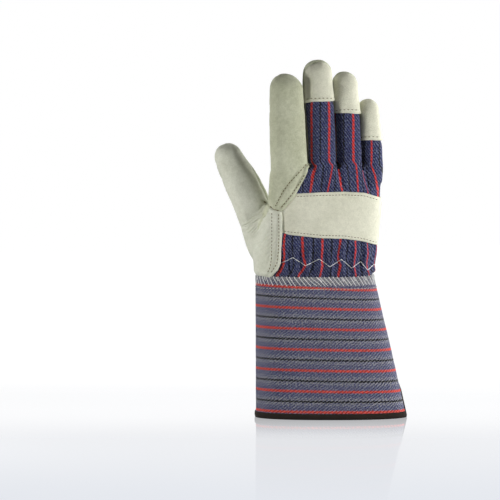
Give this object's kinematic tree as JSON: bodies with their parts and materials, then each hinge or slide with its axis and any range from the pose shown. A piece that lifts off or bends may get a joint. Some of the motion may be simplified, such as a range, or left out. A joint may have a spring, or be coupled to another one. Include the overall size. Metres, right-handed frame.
{
  "type": "rigger glove",
  "caption": "Right-hand work glove with leather palm, fingertips and knuckle strap, striped cloth back, and a flared gauntlet cuff with a bound edge and a side slit.",
  "frame": {"origin": "middle of the glove's footprint, on the surface that the cuff's rim stands on", "axes": "+Z from the rim to the fingertips; the back of the hand faces -Y and the palm +Y; the thumb points to -X and the little finger to +X"},
  "size_m": [0.1762, 0.0662, 0.3255],
  "materials": {
    "leather": "pale grey-green grain leather, matt with a faint sheen, fine creases",
    "striped_cloth": "navy twill with red and black stripes along the hand",
    "cuff_cloth": "starched navy and grey twill with red and black stripes round the cuff, black inside",
    "binding_tape": "dark brown ribbed binding tape"
  },
  "bodies": {
    "root": {"knuckle_strap": "leather", "wrist_patch": "leather", "finger_welt": "leather", "middle_cap": "leather", "ring_cap": "leather", "little_cap": "leather", "thumb_back": "leather", "thumb_front": "leather", "two_finger_front": "leather", "palm": "leather", "hand_back": "striped_cloth", "cuff": "cuff_cloth", "cuff_binding": "binding_tape"}
  },
  "joints": []
}
